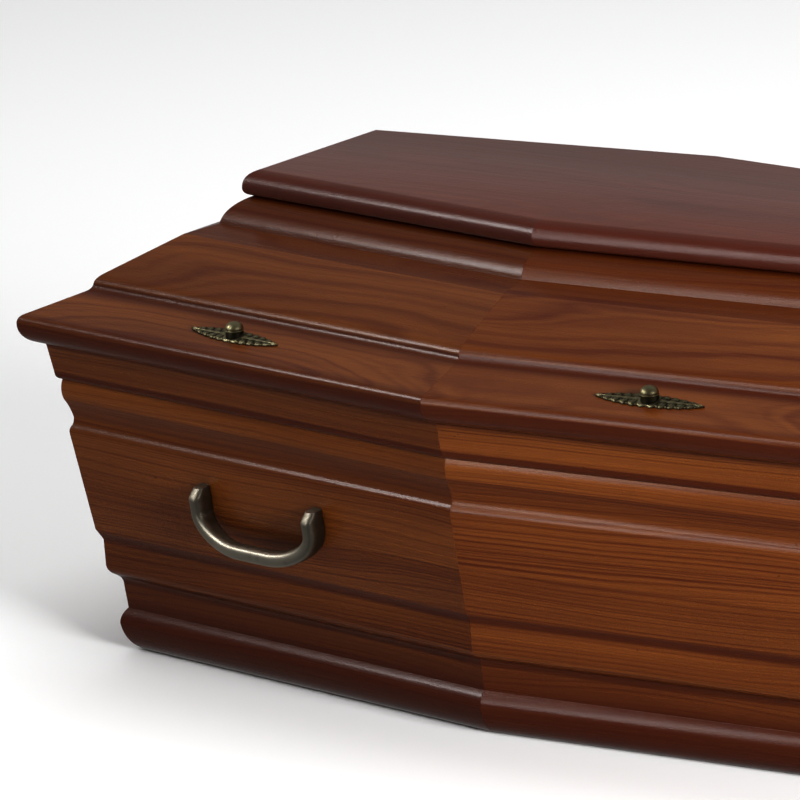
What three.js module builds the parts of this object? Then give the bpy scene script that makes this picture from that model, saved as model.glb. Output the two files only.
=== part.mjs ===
// A wooden coffin with shoulders: six leaning moulded walls set round a base board, and a loose lid
// of six sloping moulded boards under a flat top board, with cast handles and ornamental lid screws.
// Millimetres. X runs from the head end to the foot end, Y across, Z up, and the origin is on the
// floor under the middle of the coffin.
import * as THREE from 'three';

// The plan: the outline of the flat top board. Every other outline of the coffin has the same six
// sides and lies outside it by a reach.
const topLength = 1612;
const topHeadWidth = 195;
const topShoulderWidth = 300;
const topFootWidth = 118;
const topShoulderFromHead = 402;
const endLean = 0.95; // the two end boards reach out this much of what the long sides do

// Clearances between neighbouring pieces.
const seatGap = 0.3;
const mitreGap = 0.4;

// Flat top board of the lid, with a thumb-moulded edge that overhangs the sloping boards.
const topBoardThickness = 27.3;
const topNoseReach = 16.5;
const topNoseDrop = 18.5;
const topUndersideReach = 6.5;

// Sloping lid boards, from the top board down to the rim.
const lidSeatReach = 7.5;
const lidSeatWidth = 30;
const lidOvoloRun = 29;
const lidOvoloDrop = 27.2;
const lidLandRun = 29.3;
const lidLandDrop = 8.3;
const lidPanelRun = 71.3;
const lidPanelDrop = 38.9;
const lidPanelRound = 5;
const lidStepRun = 8.6;
const lidStepDrop = 13.9;
const flangeRun = 50;
const flangeDrop = 19.4;
const rimNoseRun = 8.3;
const rimNoseDrop = 7.2;
const rimUnderRun = 22.5;
const rimUnderDrop = 26;
const lidBoardThickness = 24;

// Walls, from the edge under the lid down to the floor.
const wallHeight = 339.2;
const wallTopThickness = 23;
const wallFootThickness = 19;
const friezeRun = 5.4;
const friezeDrop = 33;
const friezeRoundRun = 6;
const friezeRoundDrop = 6.5;
const beadHeight = 22;
const beadSwell = 1.6;
const coveRun = 7;
const coveDrop = 20;
const ridgeRun = 4.8;
const ridgeDrop = 12.4;
const ridgeRound = 7;
const panelLean = 0.148; // inward run of the raised panel for each millimetre down
const panelStepRun = 6;
const panelStepDrop = 11.5;
const bandRun = 0.6;
const bandHeight = 28.2;
const ogeeRun = 13.6;
const ogeeDrop = 22.4;
const neckRun = 2.5;
const neckHeight = 25.8;
const plinthSwell = 7.6;
const plinthUpperDrop = 16.5;
const plinthLowerDrop = 30.5;
const plinthFootRun = 19.3;

// Base board, let in between the walls.
const baseThickness = 20;

// Cast handles: a U-shaped bar with its two feet against the raised panel.
const handleSpan = 165; // between the middles of the two arms
const handleDrop = 57; // from the tops of the arms to the middle of the grip
const handleArm = 24; // straight length of each arm
const handleTurnRun = 62; // run of the turn from an arm to the grip
const handleBarWidth = 15;
const handleFootLength = 15;
const handleFootDepth = 23;
const handleGripFront = 31;
const handleGripDepth = 14;
const handleEndBevel = 8; // length over which the foot narrows to its top
const handleBelowRidge = 29; // from the ridge over the panel to the tops of the arms
const shoulderHandleFromShoulder = 277;
const longHandlesFromShoulder = [600, 1110];

// Ornamental lid screws: a leaf plate and a domed knob, on the flange of the lid.
const plateLength = 126;
const plateWidth = 21;
const plateThickness = 2.6;
const plateEdge = 1.3;
const plateLeaves = 6; // leaves along each quarter of the plate
const plateNotch = 0.2; // depth of the notch between two leaves, as a share of the width there
const knobRadius = 9.5;
const knobBossRadius = 9.4;
const knobBossHeight = 3.8; // over the middle of the plate, which slopes under the upright knob
const knobCollarRadius = 10;
const knobCollarHeight = 1.3;
const knobNeckRadius = 8.8;
const knobNeckHeight = 0.8;
const knobDomeHeight = 7.6;
const screwFromFlangeTop = 25;
const shoulderScrewFromShoulder = 296;
const longScrewsFromShoulder = [245, 675, 1105];

// How finely the round stretches are divided.
const mouldingSegments = 5;
const handleSteps = 22;
const knobSides = 14;
const knobDomeSegments = 5;

// Reaches and heights that follow from the sizes above.
const lidPanelTopReach = lidSeatReach + lidOvoloRun + lidLandRun;
const lidPanelFootReach = lidPanelTopReach + lidPanelRun;
const flangeTopReach = lidPanelFootReach + lidStepRun;
const rimReach = flangeTopReach + flangeRun + rimNoseRun;
const wallTopReach = rimReach - rimUnderRun;
const wallInnerTopReach = wallTopReach - wallTopThickness;
const lidUnderside = wallHeight + seatGap;
const flangeTopHeight = lidUnderside + rimUnderDrop + rimNoseDrop + flangeDrop;
const lidPanelFootHeight = flangeTopHeight + lidStepDrop;
const lidPanelTopHeight = lidPanelFootHeight + lidPanelDrop;
const lidSeatHeight = lidPanelTopHeight + lidLandDrop + lidOvoloDrop;
const topUnderside = lidSeatHeight + seatGap;
const topFace = topUnderside + topBoardThickness;

const coveFootReach = wallTopReach - friezeRun - friezeRoundRun - coveRun;
const coveFootHeight = wallHeight - friezeDrop - friezeRoundDrop - beadHeight - coveDrop;
const ridgeReach = coveFootReach + ridgeRun;
const ridgeHeight = coveFootHeight - ridgeDrop;
const plinthHeight = plinthUpperDrop + plinthLowerDrop;
const panelFootHeight = plinthHeight + neckHeight + ogeeDrop + bandHeight + panelStepDrop;
const panelFootReach = ridgeReach - (ridgeHeight - panelFootHeight) * panelLean;
const neckFootReach = panelFootReach - panelStepRun - bandRun - ogeeRun - neckRun;
const floorReach = neckFootReach + plinthSwell - plinthFootRun;
const wallInnerFloorReach = floorReach - wallFootThickness;
const wallInnerSlope = (wallInnerTopReach - wallInnerFloorReach) / wallHeight;

function material(name, colour, roughness, metalness) {
  return new THREE.MeshStandardMaterial({ name, color: colour, roughness, metalness });
}

const sideWood = material('side_wood', 0x6b3216, 0.38, 0);
const lidWood = material('lid_wood', 0x743a1a, 0.35, 0);
const topWood = material('top_wood', 0x5c3226, 0.32, 0);
const baseWood = material('base_wood', 0x7a4a28, 0.6, 0);
const antiqueBrass = material('antique_brass', 0x8c7f66, 0.34, 0.9);

// The plan's corners, seen from above, starting at the head end's front corner.
const headX = -topLength / 2;
const shoulderX = headX + topShoulderFromHead;
const footX = topLength / 2;
const planCorners = [
  new THREE.Vector2(headX, -topHeadWidth / 2),
  new THREE.Vector2(shoulderX, -topShoulderWidth / 2),
  new THREE.Vector2(footX, -topFootWidth / 2),
  new THREE.Vector2(footX, topFootWidth / 2),
  new THREE.Vector2(shoulderX, topShoulderWidth / 2),
  new THREE.Vector2(headX, topHeadWidth / 2),
];
const sideNames = ['shoulder_front', 'long_front', 'foot_end', 'long_back', 'shoulder_back', 'head_end'];

const sides = sideNames.map((name, index) => {
  const start = planCorners[index];
  const along = planCorners[(index + 1) % 6].clone().sub(start).normalize();
  const outward = new THREE.Vector2(along.y, -along.x);
  const reachShare = name.endsWith('_end') ? endLean : 1;
  return { name, index, start, along, outward, reachShare };
});

// The corner where a side meets the side before it, at a reach outside the plan. It moves in a
// straight line as the reach grows, so the mitre joint between two boards is a plane.
function corner(index, reach) {
  const side = sides[index % 6];
  const before = sides[(index + 5) % 6];
  const a = before.outward;
  const b = side.outward;
  const alongA = a.dot(side.start) + before.reachShare * reach;
  const alongB = b.dot(side.start) + side.reachShare * reach;
  const det = a.x * b.y - a.y * b.x;
  return new THREE.Vector2((alongA * b.y - alongB * a.y) / det, (a.x * alongB - b.x * alongA) / det);
}

// An outline drawn by relative steps, with reach to the right and height upwards.
class Profile extends THREE.Shape {
  line(run, rise) {
    const { x, y } = this.currentPoint;
    return this.lineTo(x + run, y + rise);
  }

  curve(cornerRun, cornerRise, run, rise) {
    const { x, y } = this.currentPoint;
    return this.quadraticCurveTo(x + cornerRun, y + cornerRise, x + run, y + rise);
  }
}

// Sends each point of a geometry through a function and gives back the same geometry.
function remap(geometry, place) {
  const position = geometry.getAttribute('position');
  const point = new THREE.Vector3();
  for (let i = 0; i < position.count; i += 1) {
    point.fromBufferAttribute(position, i);
    place(point);
    position.setXYZ(i, point.x, point.y, point.z);
  }
  geometry.computeVertexNormals();
  return geometry;
}

// A moulded board along one side of the plan, mitred at both ends.
function mitredBoard(side, profile) {
  const options = { depth: 1, steps: 1, bevelEnabled: false, curveSegments: mouldingSegments };
  const pull = side.along.clone().multiplyScalar(mitreGap / 2);
  return remap(new THREE.ExtrudeGeometry(profile, options), (point) => {
    const { x: reach, y: height, z: towardsStart } = point;
    const from = corner(side.index, reach).add(pull);
    const to = corner(side.index + 1, reach).sub(pull);
    const at = to.lerp(from, towardsStart);
    point.set(at.x, at.y, height);
  });
}

// A board with the plan's outline, whose edge follows a list of points of reach and height, from
// its underside up.
function outlineBoard(edge) {
  const layers = edge.length - 1;
  const options = { depth: layers, steps: layers, bevelEnabled: false };
  return remap(new THREE.ExtrudeGeometry(new THREE.Shape(planCorners), options), (point) => {
    const distances = planCorners.map((plan) => Math.hypot(plan.x - point.x, plan.y - point.y));
    const nearest = distances.indexOf(Math.min(...distances));
    const { x: reach, y: height } = edge[Math.round(point.z)];
    const at = corner(nearest, reach);
    point.set(at.x, at.y, height);
  });
}

function lidProfile() {
  const slope = lidPanelDrop / lidPanelRun;
  const roundRun = lidPanelRound / Math.hypot(1, slope);
  const innerDrop = lidBoardThickness * Math.hypot(1, slope);
  const profile = new Profile();
  profile.moveTo(lidSeatReach - lidSeatWidth, lidSeatHeight - innerDrop);
  profile.lineTo(lidPanelTopReach, lidPanelTopHeight - innerDrop);
  profile.lineTo(lidPanelFootReach, lidPanelFootHeight - innerDrop);
  profile.lineTo(wallInnerTopReach, flangeTopHeight - innerDrop);
  profile.lineTo(wallInnerTopReach, lidUnderside);
  profile.lineTo(wallTopReach, lidUnderside);
  profile.curve(rimUnderRun, rimUnderDrop * 0.14, rimUnderRun, rimUnderDrop);
  profile.curve(-rimNoseRun * 0.42, rimNoseDrop * 0.62, -rimNoseRun, rimNoseDrop);
  profile.line(-flangeRun, flangeDrop);
  profile.curve(-lidStepRun * 0.55, lidStepDrop * 0.1, -lidStepRun * 0.65, lidStepDrop * 0.55);
  profile.quadraticCurveTo(
    lidPanelFootReach,
    lidPanelFootHeight,
    lidPanelFootReach - roundRun,
    lidPanelFootHeight + roundRun * slope,
  );
  profile.lineTo(lidPanelTopReach, lidPanelTopHeight);
  profile.line(-lidLandRun, lidLandDrop);
  profile.curve(-lidOvoloRun * 0.15, lidOvoloDrop * 0.66, -lidOvoloRun, lidOvoloDrop);
  profile.line(-lidSeatWidth, 0);
  profile.closePath();
  return profile;
}

function wallProfile() {
  const profile = new Profile();
  profile.moveTo(wallInnerFloorReach, 0);
  profile.lineTo(floorReach, 0);
  profile.curve(plinthFootRun * 0.82, plinthLowerDrop * 0.24, plinthFootRun, plinthLowerDrop);
  profile.curve(0, plinthUpperDrop * 0.55, -plinthSwell, plinthUpperDrop);
  profile.line(neckRun, neckHeight);
  profile.curve(0, ogeeDrop * 0.34, ogeeRun * 0.45, ogeeDrop * 0.5);
  profile.curve(ogeeRun * 0.5, ogeeDrop * 0.16, ogeeRun * 0.55, ogeeDrop * 0.5);
  profile.line(bandRun, bandHeight);
  profile.line(panelStepRun, panelStepDrop);
  profile.lineTo(ridgeReach - ridgeRound * panelLean, ridgeHeight - ridgeRound);
  profile.quadraticCurveTo(
    ridgeReach,
    ridgeHeight,
    ridgeReach - ridgeRun * 0.5,
    ridgeHeight + ridgeDrop * 0.45,
  );
  profile.quadraticCurveTo(coveFootReach, coveFootHeight - ridgeDrop * 0.25, coveFootReach, coveFootHeight);
  profile.curve(coveRun * 0.3, coveDrop * 0.55, coveRun, coveDrop);
  profile.curve(beadSwell * 2, beadHeight / 2, 0, beadHeight);
  profile.curve(friezeRoundRun, friezeRoundDrop * 0.2, friezeRoundRun, friezeRoundDrop);
  profile.line(friezeRun, friezeDrop);
  profile.lineTo(wallInnerTopReach, wallHeight);
  profile.closePath();
  return profile;
}

// Thumb moulding of the top board, from its underside up to the arris of its top face.
function topBoardEdge() {
  const edge = new THREE.Path();
  edge.moveTo(topUndersideReach, topUnderside);
  edge.quadraticCurveTo(topNoseReach, topUnderside + 1, topNoseReach, topFace - topNoseDrop);
  edge.quadraticCurveTo(topNoseReach, topFace - topNoseDrop * 0.2, 0, topFace);
  return edge.getPoints(mouldingSegments);
}

function baseBoardEdge() {
  const reachAt = (height) => wallInnerFloorReach + height * wallInnerSlope - seatGap;
  return [new THREE.Vector2(reachAt(0), 0), new THREE.Vector2(reachAt(baseThickness), baseThickness)];
}

// A group set on a side at a distance from its shoulder corner: X runs along the side, Y up the
// slope of the face, given by its run and rise, and Z out of the face.
function groupOnFace(side, fromShoulder, reach, height, run, rise) {
  const startsAtShoulder = side.start.x === shoulderX;
  const shoulder = corner(startsAtShoulder ? side.index : side.index + 1, reach);
  const at = shoulder.addScaledVector(side.along, startsAtShoulder ? fromShoulder : -fromShoulder);
  const alongSide = new THREE.Vector3(side.along.x, side.along.y, 0);
  const upSlope = new THREE.Vector3(side.outward.x * run, side.outward.y * run, rise).normalize();
  const outOfFace = alongSide.clone().cross(upSlope);
  const group = new THREE.Group();
  const turn = new THREE.Matrix4().makeBasis(alongSide, upSlope, outOfFace);
  group.applyMatrix4(turn.setPosition(at.x, at.y, height));
  return group;
}

// The middle line of a handle in the plane of its panel, from foot to foot.
function handlePath() {
  const half = handleSpan / 2;
  const turnDrop = handleDrop - handleArm;
  const path = new THREE.Path();
  path.moveTo(-half, 0);
  path.lineTo(-half, -handleArm);
  path.absellipse(handleTurnRun - half, -handleArm, handleTurnRun, turnDrop, Math.PI, 1.5 * Math.PI);
  path.lineTo(half - handleTurnRun, -handleDrop);
  path.absellipse(half - handleTurnRun, -handleArm, handleTurnRun, turnDrop, 1.5 * Math.PI, 2 * Math.PI);
  path.lineTo(half, 0);
  return path;
}

// Half of the bar's section: a flat back, full sides and a narrower rounded front. The first number
// is a share of the half width, the second a share of the depth.
const barHalfSection = [[0.84, 0], [1, 0.15], [1, 0.66], [0.82, 0.9], [0.42, 1]];

function handleGeometry() {
  const right = barHalfSection.map(([width, depth]) => new THREE.Vector2(width, depth));
  const left = [...right].reverse().map((point) => new THREE.Vector2(-point.x, point.y));
  const path = handlePath();
  const length = path.getLength();
  const options = { depth: 1, steps: handleSteps, bevelEnabled: false };
  return remap(new THREE.ExtrudeGeometry(new THREE.Shape([...right, ...left]), options), (point) => {
    const at = path.getPointAt(point.z);
    const tangent = path.getTangentAt(point.z);
    const fromEnd = Math.min(point.z, 1 - point.z) * length;
    const toGrip = THREE.MathUtils.smoothstep(fromEnd, handleFootLength, length * 0.42);
    const endShare = 0.62 + 0.38 * Math.min(fromEnd / handleEndBevel, 1);
    const back = toGrip * (handleGripFront - handleGripDepth);
    const front = THREE.MathUtils.lerp(handleFootDepth, handleGripFront, toGrip) * endShare;
    const across = point.x * (handleBarWidth / 2) * (0.6 + 0.4 * endShare);
    const out = seatGap + THREE.MathUtils.lerp(back, front, point.y);
    point.set(at.x - tangent.y * across, at.y + tangent.x * across, out);
  });
}

// One quarter of a leaf plate's outline, from its middle out to the last leaf before its tip. The
// plate narrows towards the tip, and each leaf ends in a point past a notch.
function leafQuarter() {
  const points = [];
  const halfWidthAt = (share) => (plateWidth / 2) * (1 - share ** 2.7) ** 0.7;
  for (let leaf = 0; leaf < plateLeaves; leaf += 1) {
    const notchAt = leaf / plateLeaves;
    const leafAt = (leaf + 0.6) / plateLeaves;
    points.push(new THREE.Vector2((notchAt * plateLength) / 2, halfWidthAt(notchAt) * (1 - plateNotch)));
    points.push(new THREE.Vector2((leafAt * plateLength) / 2, halfWidthAt(leafAt)));
  }
  return points;
}

function plateGeometry() {
  const quarter = leafQuarter();
  const upper = quarter.slice(1);
  const mirrored = (points, x, y) => points.map((point) => new THREE.Vector2(point.x * x, point.y * y));
  const outline = [
    quarter[0],
    ...mirrored(upper, -1, 1),
    new THREE.Vector2(-plateLength / 2, 0),
    ...mirrored([...upper].reverse(), -1, -1),
    ...mirrored([quarter[0]], 1, -1),
    ...mirrored(upper, 1, -1),
    new THREE.Vector2(plateLength / 2, 0),
    ...[...upper].reverse(),
  ];
  const layers = [
    { height: 0, inset: 0 },
    { height: plateThickness - plateEdge, inset: 0 },
    { height: plateThickness, inset: plateEdge },
  ];
  const options = { depth: 2, steps: 2, bevelEnabled: false };
  return remap(new THREE.ExtrudeGeometry(new THREE.Shape(outline), options), (point) => {
    const { height, inset } = layers[Math.round(point.z)];
    const lengthShare = 1 - (2 * inset) / plateLength;
    const widthShare = 1 - (2 * inset) / plateWidth;
    point.set(point.x * lengthShare, point.y * widthShare, seatGap + height);
  });
}

// An upright knob, turned about Y, whose boss is cut along the slope of the plate under it. Z points
// down the slope.
function knobGeometry() {
  const slope = flangeDrop / flangeRun;
  const seatHeight = (plateThickness + 2 * seatGap) * Math.hypot(1, slope);
  const collarTop = knobBossHeight + knobCollarHeight;
  const domeFoot = collarTop + knobNeckHeight;
  const profile = new THREE.Path();
  profile.moveTo(0, 0);
  profile.lineTo(knobBossRadius, 0);
  profile.lineTo(knobBossRadius, knobBossHeight);
  profile.lineTo(knobCollarRadius, knobBossHeight + knobCollarHeight * 0.5);
  profile.lineTo(knobNeckRadius, collarTop);
  profile.lineTo(knobNeckRadius, collarTop + knobNeckHeight * 0.5);
  profile.lineTo(knobRadius, domeFoot);
  profile.quadraticCurveTo(knobRadius, domeFoot + knobDomeHeight, 0, domeFoot + knobDomeHeight);
  return remap(new THREE.LatheGeometry(profile.getPoints(knobDomeSegments), knobSides), (point) => {
    const height = point.y > 0 ? point.y : -slope * point.z;
    point.y = seatHeight + height;
  });
}

function named(name, geometry, surface) {
  const mesh = new THREE.Mesh(geometry, surface);
  mesh.name = name;
  return mesh;
}

function addHandle(group, side, number, fromShoulder) {
  const reach = ridgeReach - handleBelowRidge * panelLean;
  const place = groupOnFace(side, fromShoulder, reach, ridgeHeight - handleBelowRidge, panelLean, 1);
  place.add(named(`handle_${side.name}${number}`, handleGeometry(), antiqueBrass));
  group.add(place);
}

function addScrew(group, side, number, fromShoulder) {
  const reach = flangeTopReach + screwFromFlangeTop;
  const height = flangeTopHeight - (screwFromFlangeTop * flangeDrop) / flangeRun;
  const place = groupOnFace(side, fromShoulder, reach, height, -flangeRun, flangeDrop);
  const upright = groupOnFace(side, fromShoulder, reach, height, 0, 1);
  place.add(named(`screw_plate_${side.name}${number}`, plateGeometry(), antiqueBrass));
  upright.add(named(`screw_knob_${side.name}${number}`, knobGeometry(), antiqueBrass));
  group.add(place, upright);
}

const coffin = new THREE.Group();
const box = new THREE.Group();
const lid = new THREE.Group();
coffin.add(box, lid);

box.add(named('base_board', outlineBoard(baseBoardEdge()), baseWood));
lid.add(named('lid_top_board', outlineBoard(topBoardEdge()), topWood));

for (const side of sides) {
  box.add(named(`wall_${side.name}`, mitredBoard(side, wallProfile()), sideWood));
  lid.add(named(`lid_board_${side.name}`, mitredBoard(side, lidProfile()), lidWood));
  if (side.name.startsWith('shoulder')) {
    addHandle(box, side, '', shoulderHandleFromShoulder);
    addScrew(lid, side, '', shoulderScrewFromShoulder);
  }
  if (side.name.startsWith('long')) {
    longHandlesFromShoulder.forEach((at, index) => addHandle(box, side, `_${index + 1}`, at));
    longScrewsFromShoulder.forEach((at, index) => addScrew(lid, side, `_${index + 1}`, at));
  }
}

export default coffin;
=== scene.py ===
import math

import bmesh
import bpy
from mathutils import Matrix, Vector


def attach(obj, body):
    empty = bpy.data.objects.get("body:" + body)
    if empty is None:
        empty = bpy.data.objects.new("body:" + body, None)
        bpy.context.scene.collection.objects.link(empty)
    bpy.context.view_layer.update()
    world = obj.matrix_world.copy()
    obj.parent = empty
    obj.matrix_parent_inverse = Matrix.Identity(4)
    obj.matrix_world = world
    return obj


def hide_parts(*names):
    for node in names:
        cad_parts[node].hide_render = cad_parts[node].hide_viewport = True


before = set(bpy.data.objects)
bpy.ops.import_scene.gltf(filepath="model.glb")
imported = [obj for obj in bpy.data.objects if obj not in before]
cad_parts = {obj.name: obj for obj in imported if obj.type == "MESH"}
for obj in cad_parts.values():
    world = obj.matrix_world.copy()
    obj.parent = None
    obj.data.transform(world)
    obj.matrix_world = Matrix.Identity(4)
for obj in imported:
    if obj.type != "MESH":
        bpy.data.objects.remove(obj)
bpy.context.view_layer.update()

MM = 0.001

# The plan, in millimetres: the outline of the lid's top board. The other outlines lie a reach outside it.
TOP_LENGTH = 1612
TOP_HEAD_WIDTH = 195
TOP_SHOULDER_WIDTH = 300
TOP_FOOT_WIDTH = 118
TOP_SHOULDER_FROM_HEAD = 402
END_LEAN = 0.95
SEAT_GAP = 0.3
MITRE_GAP = 0.1

# The mouldings, in millimetres. A pair is a run outward and a height.
TOP_THICKNESS = 27.3
TOP_NOSE_REACH = 16.5
TOP_NOSE_DROP = 18.5
TOP_UNDERSIDE_REACH = 6.5
LID_SEAT_REACH = 7.5
LID_SEAT_WIDTH = 30
LID_OVOLO = (29, 27.2)
LID_LAND = (29.3, 8.3)
LID_PANEL = (71.3, 38.9)
LID_STEP = (8.6, 13.9)
FLANGE = (50, 19.4)
RIM_NOSE = (8.3, 7.2)
RIM_UNDER = (22.5, 26)
LID_THICKNESS = 24
WALL_HEIGHT = 339.2
WALL_TOP_THICKNESS = 23
WALL_FOOT_THICKNESS = 19
FRIEZE = (5.4, 33)
FRIEZE_ROUND = (6, 6.5)
BEAD_HEIGHT = 22
BEAD_SWELL = 1.6
COVE = (7, 20)
RIDGE = (4.8, 12.4)
PANEL_LEAN = 0.148
PANEL_STEP = (6, 11.5)
BAND = (0.6, 28.2)
OGEE = (13.6, 22.4)
NECK = (2.5, 25.8)
PLINTH_SWELL = 7.6
PLINTH_UPPER_DROP = 16.5
PLINTH_LOWER_DROP = 30.5
PLINTH_FOOT_RUN = 19.3

# Small roundings of the mouldings, and where their painted stain and shade fade, in millimetres.
RIM_UNDER_ROUND = 3
RIM_ROUND = 6.5
RIM_FADE = 6
STEP_FADE_START = 10
STEP_FADE_END = 2
PANEL_FOOT_ROUND = 6
LAND_EDGE = 2
RIDGE_ROUND = 5
RIDGE_LIP = 0.5
ARRIS = 0.3

# Handles, in millimetres.
HANDLE_SPAN = 165
HANDLE_DROP = 57
HANDLE_ARM = 24
HANDLE_TURN_RUN = 62
HANDLE_BAR_WIDTH = 15
HANDLE_FOOT_LENGTH = 15
HANDLE_FOOT_DEPTH = 23
HANDLE_GRIP_FRONT = 31
HANDLE_GRIP_DEPTH = 14
HANDLE_END_BEVEL = 8
HANDLE_BELOW_RIDGE = 29
SHOULDER_HANDLE = 277
LONG_HANDLES = (600, 1110)

# A handle's shape as shares: what is left of its depth at its very ends, how much of its width narrows with
# that depth, where along its length it has come fully off the wall, and half of the bar's section in shares
# of half its width and of its depth.
HANDLE_END_DEPTH = 0.62
HANDLE_END_NARROWING = 0.4
HANDLE_GRIP_START = 0.42
BAR_HALF_SECTION = [
    (0.86, 0),
    (1.04, 0.14),
    (1.04, 0.62),
    (0.94, 0.86),
    (0.62, 1.0),
    (0.2, 1.03),
]

# Lid screws, in millimetres.
PLATE_LENGTH = 126
PLATE_WIDTH = 21
PLATE_THICKNESS = 2.6
PLATE_LEAVES = 6
PLATE_NOTCH = 0.2
PLATE_RELIEF = 1.4
PLATE_EDGE = 0.7
PLATE_THINNEST = 0.25
PLATE_SEAT_RADIUS = 10.5
PLATE_RELIEF_RADIUS = 13.0
PLATE_TIP_SHARE = 0.992
KNOB_RADIUS = 9.5
KNOB_BOSS_RADIUS = 9.4
KNOB_BOSS_HEIGHT = 3.8
KNOB_COLLAR_HEIGHT = 1.3
KNOB_NECK_RADIUS = 8.8
KNOB_NECK_HEIGHT = 0.8
KNOB_DOME_HEIGHT = 7.6
SCREW_FROM_FLANGE_TOP = 25
SHOULDER_SCREW = 296
LONG_SCREWS = (245, 675, 1105)

# The photograph's camera: its place in metres, its angles in degrees, and its lens and sensor in millimetres.
CAMERA_PLACE = (4.671, -6.781, 2.509)
CAMERA_YAW = -38.47
CAMERA_PITCH = 14.64
CAMERA_ROLL = 3.2
CAMERA_LENS = 384.0
CAMERA_SENSOR_WIDTH = 36
CAMERA_REACH = 200

# Where the grain of each board is taken from, in metres: boards lie this far apart along the timber, the
# walls and lid boards and the top board start this far into their stretch of it, and each board is glued up
# from staves of this width.
BOARD_STRIDE = 7.3
BOARD_START = 2
TOP_BOARD_START = 3
STAVE_WIDTH = 0.088

# The stretches of timber that the first wall, the first lid board and the top board are cut from.
WALL_TIMBER = 1
LID_TIMBER = 11
TOP_TIMBER = 21

# The way in which the staves lie side by side: outward in the lid and the top board, upward in the walls.
OUTWARD = 1
UPWARD = 2

# How far the glue lines of the walls, and of the lid and the top board, are shifted, in staves.
WALL_GLUE_SHIFT = 0.94
LID_GLUE_SHIFT = 0.35

# The friezes of the two shoulder sides are painted darker than the others: painted shade, as under the rim's
# overhang.
SHOULDER_FRIEZE_PAINTED_SHADE = 0.4

# How finely the modelled curves are divided.
CURVE_STEPS = 12
HANDLE_STEPS = 84
HANDLE_ARM_STEPS = 40
HANDLE_TURN_STEPS = 80
PLATE_STEPS = 64
PLATE_ROWS = 18
KNOB_SIDES = 48
KNOB_DOME_STEPS = 18
KNOB_COLLAR_STEPS = 5
KNOB_NECK_STEPS = 6

# The studio: half the floor's side and its drop under the coffin in metres, and the view's gamma, which
# deepens the middle tones to the photograph's contrast.
FLOOR_HALF = 30
FLOOR_DROP = 0.0005
VIEW_GAMMA = 0.8

# Reaches and heights that follow.
LID_PANEL_TOP_REACH = LID_SEAT_REACH + LID_OVOLO[0] + LID_LAND[0]
LID_PANEL_FOOT_REACH = LID_PANEL_TOP_REACH + LID_PANEL[0]
FLANGE_TOP_REACH = LID_PANEL_FOOT_REACH + LID_STEP[0]
RIM_REACH = FLANGE_TOP_REACH + FLANGE[0] + RIM_NOSE[0]
WALL_TOP_REACH = RIM_REACH - RIM_UNDER[0]
WALL_INNER_TOP_REACH = WALL_TOP_REACH - WALL_TOP_THICKNESS
LID_UNDERSIDE = WALL_HEIGHT + SEAT_GAP
FLANGE_TOP_HEIGHT = LID_UNDERSIDE + RIM_UNDER[1] + RIM_NOSE[1] + FLANGE[1]
LID_PANEL_FOOT_HEIGHT = FLANGE_TOP_HEIGHT + LID_STEP[1]
LID_PANEL_TOP_HEIGHT = LID_PANEL_FOOT_HEIGHT + LID_PANEL[1]
LID_SEAT_HEIGHT = LID_PANEL_TOP_HEIGHT + LID_LAND[1] + LID_OVOLO[1]
TOP_UNDERSIDE = LID_SEAT_HEIGHT + SEAT_GAP
TOP_FACE = TOP_UNDERSIDE + TOP_THICKNESS
COVE_FOOT_REACH = WALL_TOP_REACH - FRIEZE[0] - FRIEZE_ROUND[0] - COVE[0]
COVE_FOOT_HEIGHT = WALL_HEIGHT - FRIEZE[1] - FRIEZE_ROUND[1] - BEAD_HEIGHT - COVE[1]
RIDGE_REACH = COVE_FOOT_REACH + RIDGE[0]
RIDGE_HEIGHT = COVE_FOOT_HEIGHT - RIDGE[1]
PLINTH_HEIGHT = PLINTH_UPPER_DROP + PLINTH_LOWER_DROP
PANEL_FOOT_HEIGHT = PLINTH_HEIGHT + NECK[1] + OGEE[1] + BAND[1] + PANEL_STEP[1]
PANEL_FOOT_REACH = RIDGE_REACH - (RIDGE_HEIGHT - PANEL_FOOT_HEIGHT) * PANEL_LEAN
NECK_FOOT_REACH = PANEL_FOOT_REACH - PANEL_STEP[0] - BAND[0] - OGEE[0] - NECK[0]
FLOOR_REACH = NECK_FOOT_REACH + PLINTH_SWELL - PLINTH_FOOT_RUN

# The plan's six sides, in order round it as seen from above.
HEAD_X = -TOP_LENGTH / 2
SHOULDER_X = HEAD_X + TOP_SHOULDER_FROM_HEAD
FOOT_X = TOP_LENGTH / 2
PLAN = [
    Vector((HEAD_X, -TOP_HEAD_WIDTH / 2)),
    Vector((SHOULDER_X, -TOP_SHOULDER_WIDTH / 2)),
    Vector((FOOT_X, -TOP_FOOT_WIDTH / 2)),
    Vector((FOOT_X, TOP_FOOT_WIDTH / 2)),
    Vector((SHOULDER_X, TOP_SHOULDER_WIDTH / 2)),
    Vector((HEAD_X, TOP_HEAD_WIDTH / 2)),
]
SIDE_NAMES = ["shoulder_front", "long_front", "foot_end", "long_back", "shoulder_back", "head_end"]


class Side:
    """One side of the plan: where it starts, which way it runs and which way it faces."""

    def __init__(self, index):
        self.index = index
        self.name = SIDE_NAMES[index]
        self.start = PLAN[index]
        self.along = (PLAN[(index + 1) % 6] - self.start).normalized()
        self.outward = Vector((self.along.y, -self.along.x))
        self.share = END_LEAN if self.name.endswith("_end") else 1.0


SIDES = [Side(index) for index in range(6)]


def corner(index, reach):
    """Where a side meets the side before it, at a reach outside the plan."""
    side, before = SIDES[index % 6], SIDES[(index + 5) % 6]
    a, b = before.outward, side.outward
    along_a = a.dot(side.start) + before.share * reach
    along_b = b.dot(side.start) + side.share * reach
    det = a.x * b.y - a.y * b.x
    return Vector(((along_a * b.y - along_b * a.y) / det, (a.x * along_b - b.x * along_a) / det))


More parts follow.
